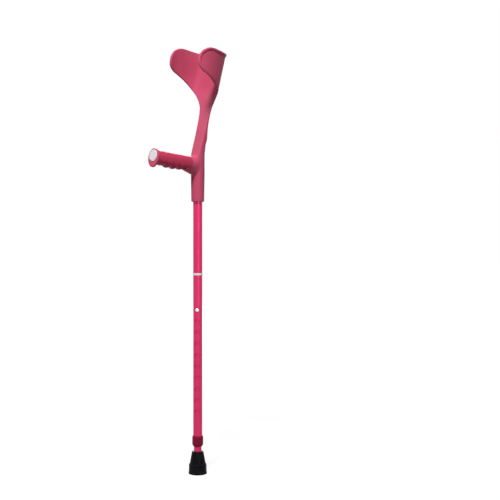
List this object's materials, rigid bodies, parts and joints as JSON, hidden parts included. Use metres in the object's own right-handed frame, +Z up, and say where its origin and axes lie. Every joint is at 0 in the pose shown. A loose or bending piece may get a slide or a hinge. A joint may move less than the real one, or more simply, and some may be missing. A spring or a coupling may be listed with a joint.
{
  "type": "forearm crutch",
  "caption": "Forearm crutch: moulded cuff and handle with a soft grip, on a telescopic leg with a snap button, locking collar and rubber ferrule.",
  "frame": {"origin": "centre of the ferrule's sole, on the axis of the tubes", "axes": "+Z up along the tubes from the sole to the cuff; -Y forward, the way the grip points and the cuff opens; +X across the forearm, so the crutch mirrors in the YZ plane but for its row of holes"},
  "size_m": [0.1064, 0.1851, 0.9306],
  "materials": {
    "moulding": "satin pink moulded plastic",
    "soft_grip": "soft pink rubber, fine matt texture",
    "pale_insert": "plain white plastic",
    "rivet_metal": "plated steel",
    "tube": "glossy pink anodised aluminium",
    "band_film": "white reflective film",
    "inner_plastic": "natural plastic",
    "button_metal": "bright plated steel",
    "spring_steel": "bare spring steel",
    "collar": "dark maroon moulded plastic",
    "ferrule_rubber": "black rubber"
  },
  "bodies": {
    "leg": {"inner_tube": "tube", "inner_tube_plug": "inner_plastic", "button_spring": "spring_steel", "ferrule": "ferrule_rubber", "foot_disc": "button_metal"},
    "upper": {"handle_moulding": "moulding", "grip_sleeve": "soft_grip", "grip_end_disc": "pale_insert", "socket_rivet": "rivet_metal", "outer_tube": "tube", "reflective_band": "band_film", "clamp_ring": "inner_plastic"},
    "button": {"snap_button": "button_metal"},
    "collar": {"locking_collar": "collar"}
  },
  "joints": [
    {"name": "telescope", "type": "slide", "parent": "leg", "child": "upper", "axis": [0, 0, 1], "range_m": [0, 0.225], "deforming": ["snap_button", "button_spring"]},
    {"name": "button_press", "type": "slide", "parent": "leg", "child": "button", "axis": [-0.682, 0.7314, 0], "range_m": [0, 0.004], "stiffness_N_per_m": 800, "deforming": ["button_spring"]},
    {"name": "collar_turn", "type": "hinge", "parent": "upper", "child": "collar", "pos_m": [0, 0, 0.0732], "axis": [0, 0, -1], "range_deg": [0, 180]}
  ]
}
